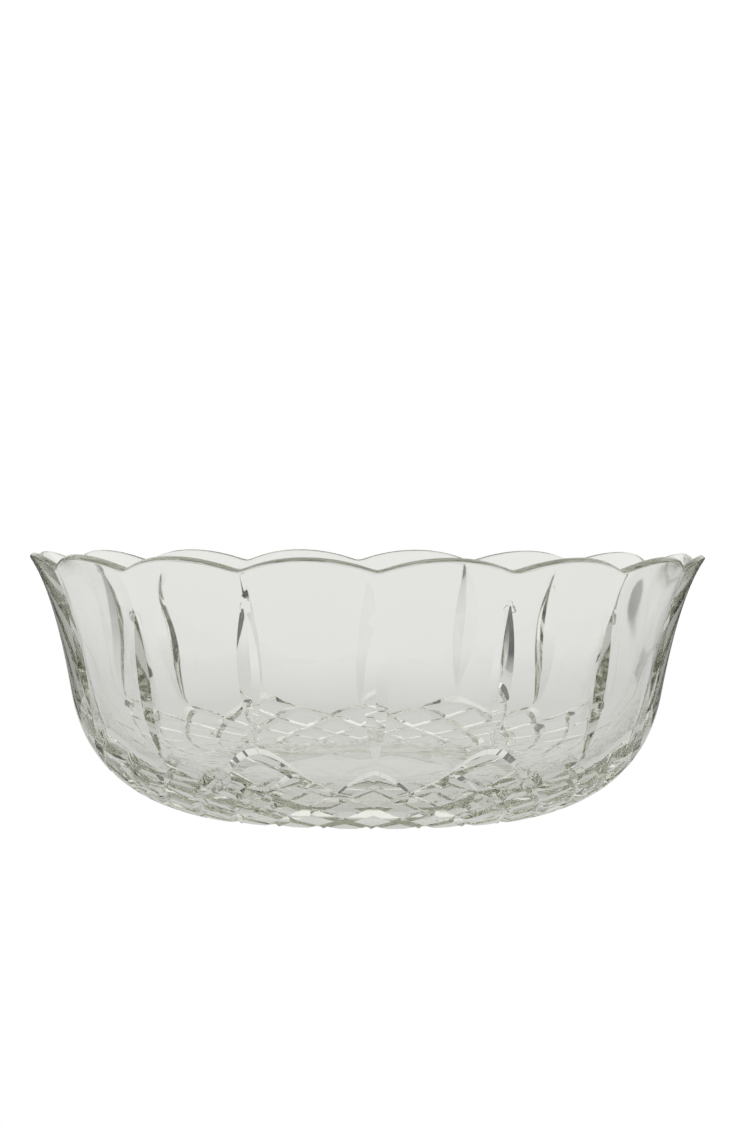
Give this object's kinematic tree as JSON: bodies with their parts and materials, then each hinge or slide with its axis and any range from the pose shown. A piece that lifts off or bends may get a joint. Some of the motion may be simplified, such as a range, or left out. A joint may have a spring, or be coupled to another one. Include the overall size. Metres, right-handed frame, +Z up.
{
  "type": "salad bowl",
  "caption": "Clear glass salad bowl with a scalloped rim, a flaring panelled wall with upright leaf cuts, and a belt of diamond cuts that curves in to a flat base.",
  "frame": {"origin": "on the table, under the middle of the base", "axes": "+Z up along the bowl's axis; -Y towards the viewer of the picture, where a low leaf cut faces front"},
  "size_m": [0.2488, 0.2488, 0.0965],
  "materials": {
    "glass": "polished, with polished cuts"
  },
  "bodies": {
    "root": {"bowl": "glass"}
  },
  "joints": []
}
